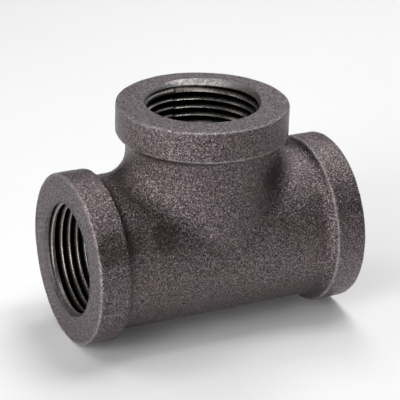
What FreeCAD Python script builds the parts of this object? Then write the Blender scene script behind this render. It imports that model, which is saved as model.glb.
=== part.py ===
import FreeCAD, Part
import math
import os

# A malleable-iron pipe tee: one casting with three equal bosses, each cut with a
# 1 inch taper pipe thread. The run lies along X, the branch rises along +Z, and the
# origin is on the floor plane below the crossing of the two axes. Millimetres.

# --- driving dimensions -----------------------------------------------------
centre_to_face = 38.1          # from the crossing of the axes to each port face
band_radius = 22.6             # outside of the reinforcing band round each port
band_width = 8.2               # cylindrical length of the band
band_edge = 0.6                # rounding of the band at the port face
run_radius = 20.4              # cast wall of the run between the bands
neck_radius = 19.95            # cast wall of the branch below its band
cove_length = 3.0              # hollow transition from the wall up to the band
crotch_radius = 6.3            # fillet where the branch meets the run
chamber_radius = 16.9          # as-cast waterway behind the threads

threads_per_inch = 11.5
thread_reach = 15.0            # from the port face to the end of the thread
crest_radius = 14.85           # straight-drilled wall left between the grooves
mouth_root_radius = 16.61      # bottom of the thread groove at the port face
thread_half_angle = 30.0       # each flank of the 60 degree thread, in degrees
root_flat = 0.084              # truncation at the bottom of the groove
taper_per_side = 1.0 / 32.0    # growth of radius along the axis, 1 in 16 on diameter
countersink_radius = 15.9      # mouth of the 45 degree countersink; the last turn
                               # of the groove is deeper, so it breaks the face

# --- derived values ---------------------------------------------------------
pitch = 25.4 / threads_per_inch
axis_height = band_radius
band_start = centre_to_face - band_width
chamber_end = centre_to_face - thread_reach
overshoot = 4.0                # how far cutters run past the surface they open
flank_depth = 1.82             # of the cutter; neighbouring turns must not meet

X = FreeCAD.Vector(1, 0, 0)
Y = FreeCAD.Vector(0, 1, 0)
Z = FreeCAD.Vector(0, 0, 1)
ORIGIN = FreeCAD.Vector(0, 0, 0)


def point(radius, along):
    """A point of a profile drawn in the XZ plane around the Z axis."""
    return FreeCAD.Vector(radius, 0, along)


def outline_of_port(wall_radius):
    """Edges of half a section, from the crossing to the face of one port."""
    rise = band_radius - wall_radius
    cove_start = band_start - cove_length
    cove_radius = (cove_length ** 2 + rise ** 2) / (2 * rise)
    half_turn = math.asin(cove_length / cove_radius) / 2
    cove_middle = point(
        wall_radius + cove_radius * (1 - math.cos(half_turn)),
        cove_start + cove_radius * math.sin(half_turn),
    )
    slant = band_edge * (1 - math.sqrt(0.5))
    face = centre_to_face
    foot = point(wall_radius, cove_start)
    corner = point(band_radius, band_start)
    edge_start = point(band_radius, face - band_edge)
    edge_middle = point(band_radius - slant, face - slant)
    edge_end = point(band_radius - band_edge, face)
    return [
        Part.LineSegment(point(wall_radius, 0), foot).toShape(),
        Part.Arc(foot, cove_middle, corner).toShape(),
        Part.LineSegment(corner, edge_start).toShape(),
        Part.Arc(edge_start, edge_middle, edge_end).toShape(),
        Part.LineSegment(edge_end, point(0, face)).toShape(),
        Part.LineSegment(point(0, face), ORIGIN).toShape(),
        Part.LineSegment(ORIGIN, point(wall_radius, 0)).toShape(),
    ]


def port_blank(wall_radius):
    """Solid limb of the casting that rises from the crossing along +Z."""
    section = Part.Face(Part.Wire(outline_of_port(wall_radius)))
    return section.revolve(ORIGIN, Z, 360)


def crotch_edges(casting):
    """The curves in which the branch wall cuts the run wall."""
    smallest = neck_radius / 2
    found = []
    for edge in casting.Edges:
        box = edge.BoundBox
        if min(box.XLength, box.YLength, box.ZLength) > smallest:
            if box.ZMin > -overshoot:
                found.append(edge)
    return found


def cast_blank():
    """The three limbs as one solid, with the crotch between them filled round."""
    right = port_blank(run_radius)
    right.rotate(ORIGIN, Y, 90)
    left = port_blank(run_radius)
    left.rotate(ORIGIN, Y, -90)
    run = right.fuse(left).removeSplitter()
    casting = run.fuse(port_blank(neck_radius)).removeSplitter()
    return casting.makeFillet(crotch_radius, crotch_edges(casting))


def waterway():
    """The cored space behind the threads: two crossing cylinders."""
    run = Part.makeCylinder(chamber_radius, 2 * chamber_end, -chamber_end * X, X)
    branch = Part.makeCylinder(chamber_radius, chamber_end, ORIGIN, Z)
    return run.fuse(branch).removeSplitter()


def countersink():
    """45 degree cone that opens the mouth of the +Z port."""
    small = crest_radius - overshoot
    large = countersink_radius + overshoot
    start = (centre_to_face - (countersink_radius - small)) * Z
    return Part.makeCone(small, large, large - small, start, Z)


def thread_groove():
    """V-shaped groove swept on a widening helix through the +Z port."""
    start = chamber_end - pitch
    length = centre_to_face + pitch - start
    root = mouth_root_radius - (centre_to_face - start) * taper_per_side
    lean = math.degrees(math.atan(taper_per_side))
    helix = Part.makeHelix(pitch, length, root, lean)
    helix.translate(start * Z)
    mouth = root - flank_depth
    half_root = root_flat / 2
    half_mouth = half_root + flank_depth * math.tan(math.radians(thread_half_angle))
    corners = [
        point(mouth, start - half_mouth),
        point(root, start - half_root),
        point(root, start + half_root),
        point(mouth, start + half_mouth),
        point(mouth, start - half_mouth),
    ]
    profile = Part.makePolygon(corners)
    return Part.Wire(helix.Edges).makePipeShell([profile], True, True)


def tap_halves():
    """Bore and groove of the +Z port as one cutter, halved so that no wall face
    left between two grooves goes all the way round."""
    start = (chamber_end - overshoot) * Z
    length = thread_reach + 2 * overshoot
    bore = Part.makeCylinder(crest_radius, length, start, Z)
    tap = bore.fuse(thread_groove())
    reach = 2 * centre_to_face
    halves = []
    for corner_x in (-reach, 0):
        corner = FreeCAD.Vector(corner_x, -reach / 2, 0)
        halves.append(tap.common(Part.makeBox(reach, reach, reach, corner)))
    return halves


def machined(casting):
    """The casting with its waterway and its three tapped and countersunk ports."""
    casting = casting.cut(waterway())
    cutters = tap_halves() + [countersink()]
    for turn in (0, 90, -90):
        for cutter in cutters:
            turned = cutter.copy()
            turned.rotate(ORIGIN, Y, turn)
            casting = casting.cut(turned)
    return casting


os.makedirs("parts", exist_ok=True)
tee_body = machined(cast_blank())
tee_body.translate(axis_height * Z)
tee_body.Solids[0].exportStep("parts/tee_body.step")
print("solids", len(tee_body.Solids), "valid", tee_body.isValid())
print("volume cm3", round(tee_body.Volume / 1000, 2), "box", tee_body.BoundBox)
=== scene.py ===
import math

import bmesh
import bpy
import numpy as np
from mathutils import Matrix, Vector, noise


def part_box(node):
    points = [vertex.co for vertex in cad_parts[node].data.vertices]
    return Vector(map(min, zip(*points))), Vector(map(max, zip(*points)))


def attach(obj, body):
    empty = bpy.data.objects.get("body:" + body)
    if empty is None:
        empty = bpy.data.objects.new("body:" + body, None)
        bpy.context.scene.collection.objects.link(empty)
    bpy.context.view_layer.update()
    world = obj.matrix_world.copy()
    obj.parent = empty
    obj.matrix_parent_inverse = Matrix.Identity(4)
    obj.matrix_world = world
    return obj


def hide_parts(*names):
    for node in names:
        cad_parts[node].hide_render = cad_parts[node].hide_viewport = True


# A black malleable-iron pipe tee on a pale studio floor. The casting is one closed mesh:
# three limbs of rows and columns that meet at the crossing, outside and inside.
# Its shapes are worked out in millimetres from the crossing of the two axes. A turn is
# an angle round a limb's own axis.

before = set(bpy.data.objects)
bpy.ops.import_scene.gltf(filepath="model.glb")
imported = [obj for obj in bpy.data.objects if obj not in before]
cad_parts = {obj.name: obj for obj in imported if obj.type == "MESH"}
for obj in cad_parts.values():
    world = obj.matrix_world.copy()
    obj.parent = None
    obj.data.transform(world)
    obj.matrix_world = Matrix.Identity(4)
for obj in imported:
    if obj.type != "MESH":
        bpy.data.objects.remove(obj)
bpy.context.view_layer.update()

MM = 0.001
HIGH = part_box("tee_body")[1]

# --- the fitting, from the frame --------------------------------------------
REACH = HIGH.x / MM                      # crossing to port face
BAND_R = HIGH.z / MM - REACH             # outside of a band, and height of the axis
CROSSING = Vector((0, 0, BAND_R * MM))

# --- the casting ------------------------------------------------------------
BAND_START = REACH - 8.2                 # inner corner of a band
RUN_R = BAND_R - 2.2                     # outside of the run between its bands
NECK_R = BAND_R - 2.65                   # outside of the branch below its band
COVE = 3.0                               # length of the hollow up to a band
COVE_START = BAND_START - COVE
CROTCH = 6.3                             # fillet between branch and run
CORNER = 0.35                            # wear on a band's inner corner
CORNER_SPREAD, CORNER_WAVES = 0.5, 3.0   # share by which it varies, and how often
CORNER_INTO_COVE = 0.5                   # share of it that reaches into the cove
SOFT_CORNER = 1.3                        # more of it on the left of the branch's band
SOFT_TURN = 0.2                          # which way that side faces, off -X, in radians
RIM = 0.75                               # wear on a band's outer edge
RIM_SPREAD, RIM_WAVES = 0.25, 5.0
CHAMBER_R = 16.9                         # cored space behind the threads
CHAMBER_END = REACH - 15.0
CHAMBER_RIDGE = 1.6                      # rounding where the cored spaces meet

# --- the taper pipe thread --------------------------------------------------
PITCH = 25.4 / 11.5
CREST_R = 14.5
MOUTH_ROOT_R = 16.25                     # bottom of the groove, carried to the face
TAPER = 1 / 32                           # change of radius along the axis
ROOT_FLAT = 0.09                         # width of the groove's bottom
FLANK = math.tan(math.radians(30))       # half width of the groove per depth
CREST_WEAR = 0.06                        # half width of the slope along each crest
THREAD_LEAD = -0.1                       # where the first groove starts
SPARE_TURNS = 2                          # rows made past each end, then held at the end

# --- the mouths of the ports ------------------------------------------------
MOUTH_R = 15.25                          # countersink at the face
MOUTH_DEPTH = {"left": 1.5, "right": 1.5, "branch": 1.3}
FADE_START = {"left": 0.7, "right": 0.7, "branch": 0.5}    # depth where grooves begin
FADE_LENGTH = 1.3                        # and how much further in they are full
LOBE = {"left": 0.0, "right": 0.0, "branch": 2.4}          # ground away on one side
LOBE_TURN, LOBE_WIDTH = 52, 52           # where, and half its width, in degrees
BARE_TURN, BARE_WIDTH = 66, 38           # bright worn part of it
STAIN_TURN, STAIN_WIDTH = 8, 26          # brown part of it
PATCH_R, PATCH_REACH = 16.4, 1.8         # ring that those two parts keep to
PATCH_DEPTH = 2.4                        # and how far it goes in
MARKS = (1.15, 0.30)                     # turning marks, out from the mouth
MARK_WIDTH = 0.16                        # half the width of one
MARK_DEPTH = 0.13

# --- the sand-cast skin: depth and wavelength of its unevenness --------------
SWELLS = ((0.081, 11.0), (0.045, 4.0))
GRAINS = ((0.0405, 1.35), (0.045, 0.8))
SWELL_GAIN = 1.6                         # smoother places lose grain before swells
CAST_WALL, CAST_RIM, CAST_FACE = 1.0, 0.7, 0.25            # share of it on each place
CAST_CHAMBER = 0.8

# --- dull brown patches, and painted shade by the crotches; the last two small: centres, and radii ---
SCALE_AND_SHADE_SPOTS = (
    ((-34.5, -20.0, 10.5), 5.0),
    ((-28.0, -17.5, 10.0), 4.5),
    # these two are painted shade: left of the branch, where its shadow falls, and in the
    # right crotch
    ((-18.0, -17.5, 10.0), 4.5),
    ((12.5, -15.5, 21.0), 4.5),
    ((0.7, -20.3, -2.1), 0.8),
    ((-6.4, -20.0, 4.2), 0.8),
)

# --- resolution -------------------------------------------------------------
WALL_ROWS = 52
COVE_ROWS = 8
CORNER_ROWS = 4
BAND_ROWS = 15
RIM_ROWS = 5
FACE_ROWS = 12
CHAMBER_ROWS = 12
SETTLE_STEPS = 10
SHORT = 1e-6                             # least length to divide by
PARALLEL = 1e-4                          # walls whose normals spread less have no fillet
WELD = 0.002                             # points nearer than this are one
SHARP = math.radians(32)                 # machined edges above this stay sharp
COLUMNS = 192
TURN = np.linspace(0, 2 * math.pi, COLUMNS + 1)
ACROSS = np.cos(TURN)
SIDE = np.sin(TURN)
LIMBS = ("left", "right", "branch")
SKIN, FACE, THREAD = range(3)            # material slots
NOT_WORN = 9.0                           # stands for: no worn edge near


def flat(value):
    """A value for every column."""
    return np.broadcast_to(np.asarray(value, float), TURN.shape)


def place(limb, along, radius):
    """Points of a ring: along the limb's axis, at a radius, one for each column."""
    along = flat(along)
    across = radius * ACROSS
    side = radius * SIDE
    if limb == "branch":
        return np.stack([across, side, along], -1)
    sign = 1 if limb == "right" else -1
    return np.stack([sign * along, side, across], -1)


def first_ring(limb, radius):
    """Where each column of a limb starts: on the planes that part equal cylinders."""
    edge = radius * ACROSS
    return np.abs(edge) if limb == "branch" else np.maximum(edge, 0)


def settle(points, run_r, branch_r, fillet):
    """Moves points onto two crossing cylinders joined by a rolling-ball fillet."""
    for _ in range(SETTLE_STEPS):
        x, y, z = points[..., 0], points[..., 1], points[..., 2]
        nil = np.zeros_like(x)
        below = np.minimum(z, 0)
        run_len = np.maximum(np.hypot(y, z), SHORT)
        branch_len = np.maximum(np.sqrt(x * x + y * y + below * below), SHORT)
        run_n = np.stack([nil, y, z], -1) / run_len[..., None]
        branch_n = np.stack([x, y, below], -1) / branch_len[..., None]
        run_d = run_len - run_r
        branch_d = branch_len - branch_r
        cosine = (run_n * branch_n).sum(-1)
        spread = np.maximum(1 - cosine ** 2, PARALLEL / 10)
        a = run_d - fillet
        b = branch_d - fillet
        share_a = (a - b * cosine) / spread
        share_b = (b - a * cosine) / spread
        ball = (share_a < 0) & (share_b < 0) & (spread > PARALLEL)
        arm = share_a[..., None] * run_n + share_b[..., None] * branch_n
        arm_len = np.maximum(np.linalg.norm(arm, axis=-1), SHORT)
        nearer = (run_d < branch_d)[..., None]
        distance = np.where(ball, fillet - arm_len, np.minimum(run_d, branch_d))
        plain = np.where(nearer, run_n, branch_n)
        slope = np.where(ball[..., None], -arm / arm_len[..., None], plain)
        points = points - distance[..., None] * slope
    return points


class Chain:
    """Rings of one limb in order, from the crossing outside to the crossing inside.

    A ring's slot is the material of the faces between it and the next ring. Each of its
    vertices also has its share of the cast unevenness, its distance from a worn edge,
    and, in a thread, its height from the groove's bottom to the crest.
    """

    def __init__(self, limb):
        self.limb = limb
        self.rings = []
        self.slots = []
        self.cast = []
        self.worn = []
        self.height = []

    def add(self, points, slot, cast=0.0, worn=NOT_WORN, height=0.0):
        """One ring, and what the faces after it and its own vertices are."""
        self.rings.append(points)
        self.slots.append(slot)
        self.cast.append(flat(cast))
        self.worn.append(flat(worn))
        self.height.append(flat(height))

    def profile(self, outline, slot, cast, edges):
        """Rings round an outline of (along, radius) pairs."""
        for along, radius in outline:
            gaps = [np.hypot(along - e[0], radius - e[1]) for e in edges]
            worn = np.minimum.reduce(gaps)
            self.add(place(self.limb, along, radius), slot, cast, worn)


def pair(along, radius):
    """A place on every column of a limb."""
    return np.stack([flat(along), flat(radius)])


def eased(start, corner, end, count):
    """Places round a small worn corner, without its start."""
    found = []
    for k in range(1, count + 1):
        u = k / count
        found.append((1 - u) ** 2 * start + 2 * u * (1 - u) * corner + u ** 2 * end)
    return found


def straight(start, end, count):
    """Places along a line, without its start."""
    return [start + (end - start) * k / count for k in range(1, count + 1)]


def uneven(waves, seed):
    """A smooth random share from -1 to 1 that closes round the turn."""
    spots = [Vector((waves * a, waves * b, seed)) for a, b in zip(ACROSS, SIDE)]
    return np.array([noise.noise(p) for p in spots])


def add_wall(chain, wall_r):
    """The cast wall from the crossing to the cove, with the crotch fillet in it."""
    middle_r = (RUN_R + NECK_R) / 2
    start = first_ring(chain.limb, middle_r)
    quick = 6                            # the limb's own radius by a sixth of the way
    for k in range(WALL_ROWS):
        u = k / WALL_ROWS
        radius = middle_r + (wall_r - middle_r) * min(1, quick * u)
        along = start + (COVE_START - start) * u
        points = settle(place(chain.limb, along, radius), RUN_R, NECK_R, CROTCH)
        chain.add(points, SKIN, CAST_WALL)


def corner_wear(limb):
    """How far each band's inner corner is rounded off, column by column."""
    seed = LIMBS.index(limb) * 7.3
    wear = CORNER * (1 + CORNER_SPREAD * uneven(CORNER_WAVES, seed))
    if limb == "branch":
        wear = wear + SOFT_CORNER * np.maximum(-np.cos(TURN - SOFT_TURN), 0) ** 3
    return wear


def turning_marks(limb):
    """Faint rings that a facing tool left round the mouth of a run port."""
    edge = mouth_edge(limb)
    depth = 0 if limb == "branch" else MARK_DEPTH        # the branch has plain rows
    found = []
    for step in MARKS:
        found.append(pair(REACH, edge + step + MARK_WIDTH))
        found.append(pair(REACH - depth, edge + step))
        found.append(pair(REACH, edge + step - MARK_WIDTH))
    return found


def add_band(chain, wall_r):
    """Cove, band and port face."""
    rise = BAND_R - wall_r
    cove_r = (COVE ** 2 + rise ** 2) / (2 * rise)
    full = math.asin(COVE / cove_r)
    corner = pair(BAND_START, BAND_R)
    rim = pair(REACH, BAND_R)
    cove = []
    for k in range(COVE_ROWS):
        angle = full * k / COVE_ROWS
        cove.append(pair(COVE_START + cove_r * math.sin(angle),
                         wall_r + cove_r * (1 - math.cos(angle))))
    wear = corner_wear(chain.limb)
    back = corner - cove[-1]
    back = back / np.hypot(*back)
    cove_end = corner - CORNER_INTO_COVE * np.minimum(wear, 1.0) * back
    band_in = pair(BAND_START + wear, BAND_R)
    wear_out = RIM * (1 + RIM_SPREAD * uneven(RIM_WAVES, 3.1))
    band_out = pair(REACH - wear_out, BAND_R)
    face_out = pair(REACH, BAND_R - wear_out)
    face_in = pair(REACH, mouth_edge(chain.limb))
    outline = cove + [cove_end] + eased(cove_end, corner, band_in, CORNER_ROWS)
    outline += straight(band_in, band_out, BAND_ROWS)
    edges = (rim,) if chain.limb == "left" else (corner, rim)
    chain.profile(outline, SKIN, CAST_WALL, edges)
    chain.profile(eased(band_out, rim, face_out, RIM_ROWS), SKIN, CAST_RIM, edges)
    chain.slots[-1] = FACE
    marks = turning_marks(chain.limb)
    face = straight(face_out, marks[0], FACE_ROWS) + marks[1:] + [face_in]
    chain.profile(face, FACE, CAST_FACE, (rim,))
    chain.slots[-1] = THREAD


def root_radius(along):
    """Bottom of a full groove; the taper narrows it away from the face."""
    return MOUTH_ROOT_R - (REACH - along) * TAPER


def near_turn(degrees, turn, width):
    """1 within a width of a direction round an axis, falling to 0 outside it."""
    away = (degrees - turn + 180) % 360 - 180
    return np.exp(-(away / width) ** 4)


def mouth_edge(limb):
    """Edge of the countersink on the face, a circle with one side ground away."""
    return MOUTH_R + LOBE[limb] * near_turn(np.degrees(TURN), LOBE_TURN, LOBE_WIDTH)


def mouth_slope(limb):
    """How fast the countersink narrows, column by column."""
    return (mouth_edge(limb) - CREST_R) / MOUTH_DEPTH[limb]


def cone_radius(limb, along):
    """Radius of the countersink, also carried past its bottom."""
    return mouth_edge(limb) - (REACH - along) * mouth_slope(limb)


def groove_depth(limb, centre):
    """Depth of a groove below the crests; the turns next to the face are shallow."""
    fade = np.clip((REACH - centre - FADE_START[limb]) / FADE_LENGTH, 0, 1)
    return (root_radius(centre) - CREST_R) * fade


def groove_centres(limb, number):
    """Where the groove's given turn lies at each column; every port is right-handed."""
    hand = -1 if limb == "right" else 1
    return CHAMBER_END + THREAD_LEAD + PITCH * (number + hand * TURN / (2 * math.pi))


def thread_radius(limb, along):
    """Radius of the threaded and countersunk wall at a place on each column."""
    offset = (along - groove_centres(limb, 0)) / PITCH
    centre = along - (offset - np.round(offset)) * PITCH
    above = np.maximum(np.abs(along - centre) - ROOT_FLAT / 2, 0) / FLANK
    groove = CREST_R + groove_depth(limb, centre) - above
    return np.maximum(np.maximum(groove, CREST_R), cone_radius(limb, along))


def turn_rows(limb, number):
    """Places of the rings of one turn, from the mouth inwards. A flank ends at the
    crests, or earlier where it runs out into the countersink."""
    centre = groove_centres(limb, number)
    half = ROOT_FLAT / 2
    deep = groove_depth(limb, centre)
    root = CREST_R + deep
    steep = 1 / FLANK
    slope = mouth_slope(limb)
    behind = slope * REACH - mouth_edge(limb)
    width = deep * FLANK
    outer_cone = (root + (centre + half) * steep + behind) / (slope + steep)
    inner_cone = ((centre - half) * steep - root - behind) / (steep - slope)
    outer = np.maximum(np.minimum(centre + half + width, outer_cone), centre + half)
    inner = np.minimum(np.maximum(centre - half - width, inner_cone), centre - half)
    return [
        outer + CREST_WEAR,
        outer - CREST_WEAR,
        (outer + centre) / 2,
        centre + half,
        centre - half,
        (inner + centre) / 2,
        inner + CREST_WEAR,
        inner - CREST_WEAR,
    ]


def add_thread(chain):
    """The tapped wall, from the port face to the cored space."""
    last = flat(REACH)
    first = math.ceil((REACH - CHAMBER_END) / PITCH) + SPARE_TURNS
    for number in range(first, -SPARE_TURNS - 1, -1):
        for along in turn_rows(chain.limb, number):
            along = np.minimum(np.clip(along, CHAMBER_END, REACH), last)
            last = along
            radius = thread_radius(chain.limb, along)
            level = np.maximum(CREST_R, cone_radius(chain.limb, along))
            span = np.maximum(root_radius(along) - CREST_R, 0.1)
            height = 1 - np.clip((radius - level) / span, 0, 1)
            points = place(chain.limb, along, radius)
            chain.add(points, THREAD, height=height)


def add_chamber(chain):
    """The cored wall behind the thread, to the crossing."""
    chain.slots[-1] = SKIN
    last = first_ring(chain.limb, CHAMBER_R)
    for k in range(CHAMBER_ROWS + 1):
        u = k / CHAMBER_ROWS
        along = CHAMBER_END + (last - CHAMBER_END) * u
        points = place(chain.limb, along, CHAMBER_R)
        if k:
            points = settle(points, CHAMBER_R, CHAMBER_R, CHAMBER_RIDGE)
        chain.add(points, SKIN, CAST_CHAMBER)


def limb_chain(limb):
    """All the rings of one limb."""
    chain = Chain(limb)
    wall_r = NECK_R if limb == "branch" else RUN_R
    add_wall(chain, wall_r)
    add_band(chain, wall_r)
    add_thread(chain)
    add_chamber(chain)
    return chain


def column_lengths(rings):
    """Distance down each column from the first ring to each ring."""
    steps = np.linalg.norm(np.diff(rings, axis=0), axis=-1)
    return np.concatenate([np.zeros((1, COLUMNS + 1)), np.cumsum(steps, axis=0)])


def unrolled(chain, index):
    """Map coordinates: the outside of each limb is a strip, and the insides share one."""
    rings = np.array(chain.rings)
    split = chain.slots.index(THREAD)
    u = flat(TURN / (2 * math.pi))
    strip, gap = 0.235, 0.006            # height of an outer strip, and the room between
    outer = column_lengths(rings[: split + 1])
    outer = outer - outer[-1]
    scale_out = (strip - gap) / -outer.min()
    inner = column_lengths(rings[split:])
    scale_in = (1 - 3 * strip - gap) / inner.max()
    coords_out = np.stack(
        [gap / 2 + (1 - gap) * np.broadcast_to(u, outer.shape),
         (index + 1) * strip - gap / 2 + outer * scale_out], -1)
    coords_in = np.stack(
        [(index + gap + (1 - 3 * gap) * np.broadcast_to(u, inner.shape)) / 3,
         1 - gap / 2 - inner * scale_in], -1)
    return split, coords_out, coords_in


def grid_faces(chain, index, first_vertex):
    """Quads of a chain with their corners' map coordinates and slots."""
    split, coords_out, coords_in = unrolled(chain, index)
    width = COLUMNS + 1
    count = len(chain.rings)
    ring, column = np.meshgrid(
        np.arange(count - 1), np.arange(COLUMNS), indexing="ij")
    ring, column = ring.ravel(), column.ravel()
    steps = ((0, 0), (0, 1), (1, 1), (1, 0))
    corners = np.stack([(ring + a) * width + column + b for a, b in steps], -1)
    maps = np.empty(corners.shape + (2,))
    outside = ring < split
    for k, (a, b) in enumerate(steps):
        maps[outside, k] = coords_out[ring[outside] + a, column[outside] + b]
        maps[~outside, k] = coords_in[ring[~outside] + a - split, column[~outside] + b]
    return corners + first_vertex, maps, np.array(chain.slots)[ring]


def store(mesh, name, values):
    """Gives the mesh a named value for each vertex."""
    attribute = mesh.attributes.new(name, "FLOAT", "POINT")
    attribute.data.foreach_set("value", values.astype(np.float32))


def mouth_patch(points, turn, width):
    """How near each point is to one side of the branch's mouth, from 0 to 1."""
    x, y, z = points.T
    ring = np.clip(PATCH_REACH - np.abs(np.hypot(x, y) - PATCH_R), 0, 1)
    near = near_turn(np.degrees(np.arctan2(y, x)), turn, width)
    return near * ring * (z > REACH - PATCH_DEPTH)


def scale_and_shade_depth(points):
    """How far each point lies in a dark patch, from 0 to 1: dull brown scale on the left
    band, painted shade by the crotches.
    """
    depth = np.zeros(len(points))
    for centre, radius in SCALE_AND_SHADE_SPOTS:
        away = np.linalg.norm(points - np.array(centre), axis=1)
        depth = np.maximum(depth, np.exp(-(away / radius) ** 2))
    return depth


def build_mesh(chains):
    """One mesh of all the chains, not yet joined where they meet."""
    points, values, corners, maps, slots = [], [], [], [], []
    total = 0
    for index, chain in enumerate(chains):
        rings = np.array(chain.rings)
        points.append(rings.reshape(-1, 3))
        values.append(np.stack(
            [np.array(chain.cast), np.array(chain.worn), np.array(chain.height)],
            -1).reshape(-1, 3))
        found = grid_faces(chain, index, total)
        corners.append(found[0])
        maps.append(found[1])
        slots.append(found[2])
        total += rings.shape[0] * rings.shape[1]
    mesh = bpy.data.meshes.new("tee_casting")
    corners = np.concatenate(corners)
    mesh.vertices.add(total)
    mesh.vertices.foreach_set("co", np.concatenate(points).ravel())
    mesh.loops.add(corners.size)
    mesh.loops.foreach_set("vertex_index", corners.ravel().astype(np.int32))
    mesh.polygons.add(len(corners))
    mesh.polygons.foreach_set("loop_start", np.arange(0, corners.size, 4, dtype=np.int32))
    mesh.polygons.foreach_set("material_index", np.concatenate(slots).astype(np.int32))
    mesh.update(calc_edges=True)
    layer = mesh.uv_layers.new(name="OFBake")
    layer.data.foreach_set("uv", np.concatenate(maps).ravel())
    values = np.concatenate(values)
    for k, name in enumerate(("cast", "worn", "height")):
        store(mesh, name, values[:, k])
    points = np.concatenate(points)
    store(mesh, "bare", mouth_patch(points, BARE_TURN, BARE_WIDTH))
    store(mesh, "stain", mouth_patch(points, STAIN_TURN, STAIN_WIDTH))
    store(mesh, "scale_and_shade", scale_and_shade_depth(points))
    store(mesh, "inside", REACH - np.maximum(np.abs(points[:, 0]), points[:, 2]))
    return mesh


def weld(mesh):
    """Joins the limbs, closes the seams and turns every face outwards."""
    work = bmesh.new()
    work.from_mesh(mesh)
    bmesh.ops.remove_doubles(work, verts=work.verts, dist=WELD)
    bmesh.ops.recalc_face_normals(work, faces=work.faces)
    open_edges = sum(not e.is_manifold for e in work.edges)
    print("casting:", len(work.verts), "points,", len(work.faces), "faces,",
          open_edges, "open edges")
    for edge in work.edges:
        machined = all(face.material_index == THREAD for face in edge.link_faces)
        edge.smooth = not (machined and edge.calc_face_angle(0) > SHARP)
    for face in work.faces:
        face.smooth = True
    work.to_mesh(mesh)
    work.free()


def lumps(point, layers):
    """Smooth noise in layers, each with its depth and its wavelength."""
    return sum(depth * noise.noise(point / wavelength) for depth, wavelength in layers)


def cast_surface(mesh):
    """Sand-cast unevenness, moved into the mesh along its normals."""
    count = len(mesh.vertices)
    points = np.empty(count * 3)
    normals = np.empty(count * 3)
    cast = np.empty(count)
    mesh.vertices.foreach_get("co", points)
    mesh.vertex_normals.foreach_get("vector", normals)
    mesh.attributes["cast"].data.foreach_get("value", cast)
    points = points.reshape(-1, 3)
    shift = np.zeros(count)
    for k in np.nonzero(cast > 0)[0]:
        point = Vector(points[k])
        swell = lumps(point, SWELLS) * min(1, SWELL_GAIN * cast[k])
        shift[k] = swell + lumps(point, GRAINS) * cast[k]
    points = points + normals.reshape(-1, 3) * shift[:, None]
    points[:, 2] = np.maximum(points[:, 2], -BAND_R)      # stays on the floor
    mesh.vertices.foreach_set("co", points.ravel())
    mesh.update()


def make_casting():
    """The casting as one object, in metres and in the frame's place."""
    mesh = build_mesh([limb_chain(limb) for limb in LIMBS])
    weld(mesh)
    cast_surface(mesh)
    mesh.transform(Matrix.Translation(CROSSING) @ Matrix.Scale(MM, 4))
    piece = bpy.data.objects.new("tee_casting", mesh)
    bpy.context.scene.collection.objects.link(piece)
    return piece


# --- colours, as linear red, green and blue ---------------------------------
SKIN_PIT = (0.0025, 0.0020, 0.0022)      # the cast skin, low and high in its grain
SKIN_TIP = (0.032, 0.025, 0.0265)
SKIN_BROWN = (0.020, 0.0135, 0.010)
# dull brown patches, and painted shade by the crotches
SKIN_SCALE_AND_SHADE = (0.0125, 0.0080, 0.0052)
# painted glints: bright flecks that stand in for highlights
SKIN_PAINTED_GLINT = (0.17, 0.15, 0.15)
SKIN_RUST = (0.085, 0.043, 0.022)
SKIN_WORN = (0.36, 0.33, 0.325)
FACE_PIT = (0.010, 0.0088, 0.0105)       # the flat ends of the ports
FACE_TIP = (0.114, 0.100, 0.108)
FACE_BROAD = (0.050, 0.043, 0.050)
FACE_SPOT = (0.045, 0.028, 0.020)
FACE_WORN = (0.34, 0.31, 0.31)
FACE_BARE = (0.30, 0.28, 0.265)
# painted shade at the bottom of the grooves
GROOVE_SHADE = (0.006, 0.005, 0.005)           # the threads
FLANK_TOP = (0.20, 0.185, 0.175)
CREST = (0.48, 0.45, 0.42)
# painted shade deep in the bores
DEEP_BORE_SHADE = (0.014, 0.012, 0.011)
LIP_PIT = (0.026, 0.0225, 0.025)         # the countersinks
LIP_TIP = (0.090, 0.080, 0.086)
LIP_STAIN = (0.032, 0.019, 0.013)
LIP_BARE = (0.62, 0.575, 0.54)
FLOOR_LOW = (0.86, 0.86, 0.86)
FLOOR_HIGH = (0.88, 0.88, 0.88)
SKIN_TINT = (1.0, 0.81, 0.85, 1)         # of the reflections
FACE_TINT = (1.0, 0.84, 0.89, 1)


# --- materials --------------------------------------------------------------

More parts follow.
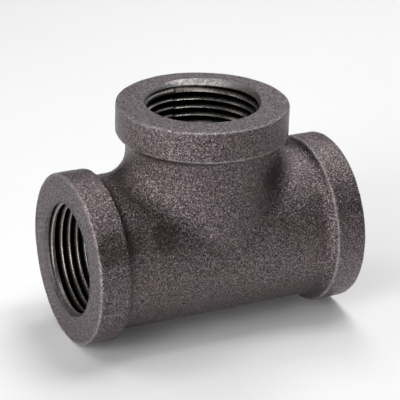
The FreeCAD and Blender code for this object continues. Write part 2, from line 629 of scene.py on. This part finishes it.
class Nodes:
    """Short names for building a material's node tree."""

    def __init__(self, name):
        self.material = bpy.data.materials.new(name)
        self.material.use_nodes = True
        self.tree = self.material.node_tree
        self.shader = self.tree.nodes["Principled BSDF"]
        coords = self.tree.nodes.new("ShaderNodeTexCoord")
        self.where = coords.outputs["Object"]

    def put(self, socket, value):
        """Links a value to a socket, or sets it there."""
        if hasattr(value, "is_linked"):
            self.tree.links.new(value, socket)
        else:
            socket.default_value = value

    def shade(self, inputs):
        """Puts values on the shader's inputs and gives back the finished material."""
        for name, value in inputs.items():
            self.put(self.shader.inputs[name], value)
        return self.material

    def noise(self, wavelength, detail=2.0, rough=0.5):
        """Noise of a wavelength in millimetres."""
        node = self.tree.nodes.new("ShaderNodeTexNoise")
        self.put(node.inputs["Vector"], self.where)
        node.inputs["Scale"].default_value = 1 / (wavelength * MM)
        node.inputs["Detail"].default_value = detail
        node.inputs["Roughness"].default_value = rough
        return node.outputs["Fac"]

    def value(self, name):
        """A named value that the mesh carries."""
        node = self.tree.nodes.new("ShaderNodeAttribute")
        node.attribute_name = name
        return node.outputs["Fac"]

    def math(self, operation, a, b):
        node = self.tree.nodes.new("ShaderNodeMath")
        node.operation = operation
        self.put(node.inputs[0], a)
        self.put(node.inputs[1], b)
        return node.outputs[0]

    def times(self, a, b):
        return self.math("MULTIPLY", a, b)

    def plus(self, a, b, share):
        """a with a share of b added."""
        return self.math("ADD", a, self.times(b, share))

    def span(self, value, low, high, to_low=0.0, to_high=1.0):
        """The value's place between low and high, held and eased."""
        node = self.tree.nodes.new("ShaderNodeMapRange")
        node.interpolation_type = "SMOOTHSTEP"
        for name, v in (("Value", value), ("From Min", low), ("From Max", high),
                        ("To Min", to_low), ("To Max", to_high)):
            self.put(node.inputs[name], v)
        return node.outputs["Result"]

    def mix(self, factor, a, b):
        """A mix of two colours."""
        node = self.tree.nodes.new("ShaderNodeMix")
        node.data_type = "RGBA"
        self.put(node.inputs["Factor"], factor)
        for socket, value in zip((node.inputs[6], node.inputs[7]), (a, b)):
            self.put(socket, value if hasattr(value, "is_linked") else (*value, 1))
        return node.outputs[2]

    def over(self, base, colour, mask, most):
        """The base with a colour over it, by a mask and the most that it covers."""
        return self.mix(self.times(mask, most), base, colour)

    def bump(self, height, depth, below=None):
        """A normal from a height field whose full step is depth millimetres."""
        node = self.tree.nodes.new("ShaderNodeBump")
        node.inputs["Distance"].default_value = depth * MM
        self.put(node.inputs["Height"], height)
        if below is not None:
            self.put(node.inputs["Normal"], below)
        return node.outputs["Normal"]


def cast_skin():
    """Black oxide over a sand-cast skin: fine grain, worn edges, a few rusty spots, dull
    brown patches, painted shade by the crotches and painted glints.
    """
    n = Nodes("black_iron_cast")
    grain = n.noise(0.46, 2.0, 0.6)
    fine = n.noise(0.30, 2.0, 0.6)
    tips = n.span(n.plus(n.times(grain, 0.5), fine, 0.5), 0.35, 0.72)
    base = n.mix(tips, SKIN_PIT, SKIN_TIP)
    broad = n.span(n.noise(13.0, 3.0, 0.55), 0.44, 0.64)
    base = n.over(base, SKIN_BROWN, broad, 0.6)
    # dark brown patches; by the crotches they are painted shade
    scale_and_shade = n.span(n.plus(n.value("scale_and_shade"), n.noise(2.6, 4.0, 0.65), 0.7), 0.55, 1.15)
    base = n.over(base, SKIN_SCALE_AND_SHADE, scale_and_shade, 0.8)
    # painted glints: sparse bright flecks in the colour, standing in for highlights
    painted_glints = n.span(n.noise(0.45, 1.5, 0.5), 0.60, 0.72)
    base = n.over(base, SKIN_PAINTED_GLINT, painted_glints, 0.35)
    rust = n.span(n.noise(6.0, 4.0, 0.65), 0.64, 0.74)
    base = n.over(base, SKIN_RUST, rust, 0.5)
    ragged = n.plus(n.value("worn"), n.noise(1.3, 3.0), -0.9)
    wear = n.times(n.span(ragged, 0.22, -0.25), n.span(tips, 0.0, 0.7, 0.25, 1.0))
    base = n.over(base, SKIN_WORN, wear, 0.8)
    dulled = n.span(scale_and_shade, 0.0, 1.0, 1.0, 0.55)
    return n.shade({
        "Base Color": base,
        "IOR": 2.5,
        "Specular Tint": SKIN_TINT,
        "Specular IOR Level": n.times(n.span(tips, 0.0, 1.0, 0.11, 0.93), dulled),
        "Roughness": n.span(grain, 0.35, 0.65, 0.36, 0.24),
        "Normal": n.bump(fine, 0.18, n.bump(grain, 0.34)),
    })


def ground_bare(n):
    """How bare the ground side of the branch's mouth is, with a ragged edge."""
    return n.plus(n.value("bare"), n.noise(0.9, 4.0, 0.7), 0.9)


def port_face():
    """The flat end of a port: softer grain, a little lighter, a few stains."""
    n = Nodes("black_iron_face")
    grain = n.noise(0.50, 2.5, 0.65)
    tips = n.span(grain, 0.34, 0.68)
    base = n.mix(tips, FACE_PIT, FACE_TIP)
    broad = n.span(n.noise(5.0, 3.0, 0.6), 0.35, 0.65)
    base = n.over(base, FACE_BROAD, broad, 0.6)
    spots = n.span(n.noise(3.2, 3.0, 0.6), 0.66, 0.74)
    base = n.over(base, FACE_SPOT, spots, 0.45)
    ragged = n.plus(n.value("worn"), n.noise(1.1, 3.0), -1.5)
    base = n.over(base, FACE_WORN, n.span(ragged, 0.25, -0.35), 0.75)
    base = n.over(base, FACE_BARE, n.span(ground_bare(n), 1.0, 1.5), 0.8)
    return n.shade({
        "Base Color": base,
        "IOR": 1.8,
        "Specular Tint": FACE_TINT,
        "Specular IOR Level": n.span(tips, 0.0, 1.0, 0.2, 0.8),
        "Roughness": n.span(grain, 0.3, 0.7, 0.62, 0.50),
        "Normal": n.bump(grain, 0.3),
    })


def cut_thread():
    """Darkened thread, with painted shade: near black in the grooves and darker further
    in. Bright along worn crests. The countersink at its mouth is oxide again, with a bare
    part and a brown part."""
    n = Nodes("black_iron_thread")
    grain = n.noise(0.8, 3.0, 0.6)
    height = n.value("height")
    inside = n.value("inside")
    # painted shade: darker towards the bottom of each groove
    base = n.mix(n.span(height, 0.35, 1.0), GROOVE_SHADE, FLANK_TOP)
    crest = n.span(n.plus(height, n.noise(4.5, 3.0, 0.6), 0.10), 0.96, 1.04)
    base = n.mix(crest, base, CREST)
    # painted shade: darker further into the bore
    base = n.over(base, DEEP_BORE_SHADE, n.span(inside, 3.0, 14.0), 0.6)
    lip = n.mix(n.span(grain, 0.36, 0.64), LIP_PIT, LIP_TIP)
    lip = n.over(lip, LIP_STAIN, n.value("stain"), 0.9)
    patchy = n.span(n.noise(1.2, 3.0, 0.6), 0.36, 0.60, 0.3, 1.0)
    lip = n.over(lip, LIP_BARE, n.span(ground_bare(n), 0.8, 1.4), patchy)
    mouth = n.span(n.plus(inside, grain, 0.6), 2.0, 1.5)
    return n.shade({
        "Base Color": n.mix(mouth, base, lip),
        "Metallic": n.span(mouth, 0.0, 1.0, 0.85, 0.0),
        "Roughness": n.plus(n.span(grain, 0.3, 0.7, 0.22, 0.38), mouth, 0.14),
        "Normal": n.bump(grain, 0.03),
    })


def pale_floor():
    """Matt white board. It glows a little, as the photo's background is plain white."""
    n = Nodes("studio_floor")
    tone = n.mix(n.noise(60.0), FLOOR_LOW, FLOOR_HIGH)
    return n.shade({
        "Base Color": tone,
        "Emission Color": tone,
        "Emission Strength": 0.04,
        "Roughness": 0.8,
    })


# --- studio -----------------------------------------------------------------

VIEW_AZIMUTH = math.radians(-26.4)
VIEW_ELEVATION = math.radians(23.42)
VIEW_ROLL = math.radians(1.36)
VIEW_DISTANCE = 538.6 * MM
VIEW_RAISE = 9.44 * MM
VIEW_RIGHT = 0.18 * MM
LENS = 182.05
SENSOR = 36

FLOOR_SIZE = 6                           # in metres, as are the next two
BOX_DISTANCE = 0.6
BOX_SIZE = 0.22
WORLD_STRENGTH = 0.001

# name, azimuth and elevation in degrees, power in watts
SOFT_BOXES = (
    ("low_left", -90, 8, 0.55),
    ("low_front_left", -60, 8, 1.0),
    ("side_front_left", -60, 30, 1.16),
    ("side_back_right", 120, 30, 0.31),
    ("side_rear_right", 150, 30, 0.15),
    ("high_back_left", -120, 52, 0.48),
    ("high_front_left", -60, 52, 0.23),
    ("high_right", 90, 52, 0.19),
    ("high_rear_right", 150, 52, 0.87),
    ("over_near_left", -30, 74, 0.32),
    ("over_right", 90, 74, 1.23),
    ("over_rear_right", 150, 74, 0.26),
)


def direction(azimuth, elevation):
    """Unit vector towards a place seen from the crossing; azimuth 0 is the front."""
    return Vector((
        math.sin(azimuth) * math.cos(elevation),
        -math.cos(azimuth) * math.cos(elevation),
        math.sin(elevation),
    ))


def add_camera():
    """The photo's view, worked out from the crossing."""
    back = direction(VIEW_AZIMUTH, VIEW_ELEVATION)
    level = Vector((0, 0, 1)).cross(back).normalized()
    upright = back.cross(level)
    right = math.cos(VIEW_ROLL) * level + math.sin(VIEW_ROLL) * upright
    up = math.cos(VIEW_ROLL) * upright - math.sin(VIEW_ROLL) * level
    data = bpy.data.cameras.new("camera")
    data.lens = LENS
    data.sensor_width = SENSOR
    camera = bpy.data.objects.new("camera", data)
    turn = Matrix((right, up, back)).transposed().to_4x4()
    eye = CROSSING + VIEW_RIGHT * right + VIEW_RAISE * up + VIEW_DISTANCE * back
    camera.matrix_world = Matrix.Translation(eye) @ turn
    bpy.context.scene.collection.objects.link(camera)
    bpy.context.scene.camera = camera


def add_light(name, azimuth, elevation, power):
    """A square soft box aimed at the fitting."""
    data = bpy.data.lights.new(name, "AREA")
    data.shape = "SQUARE"
    data.size = BOX_SIZE
    data.energy = power
    light = bpy.data.objects.new(name, data)
    way = direction(math.radians(azimuth), math.radians(elevation))
    light.location = CROSSING + way * BOX_DISTANCE
    light.rotation_euler = way.to_track_quat("Z", "Y").to_euler()
    bpy.context.scene.collection.objects.link(light)


def add_studio():
    """Floor, a nearly black world, the soft boxes and the plain view transform."""
    bpy.ops.mesh.primitive_plane_add(size=FLOOR_SIZE)
    floor = bpy.context.object
    floor.name = "studio_floor"
    floor.data.materials.append(pale_floor())
    world = bpy.data.worlds.new("studio")
    world.use_nodes = True
    background = world.node_tree.nodes["Background"]
    background.inputs["Color"].default_value = (1, 1, 1, 1)
    background.inputs["Strength"].default_value = WORLD_STRENGTH
    bpy.context.scene.world = world
    for soft_box in SOFT_BOXES:
        add_light(*soft_box)
    bpy.context.scene.view_settings.view_transform = "Standard"


casting = make_casting()
for make in (cast_skin, port_face, cut_thread):
    casting.data.materials.append(make())
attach(casting, "root")
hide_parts("tee_body")
add_studio()
add_camera()
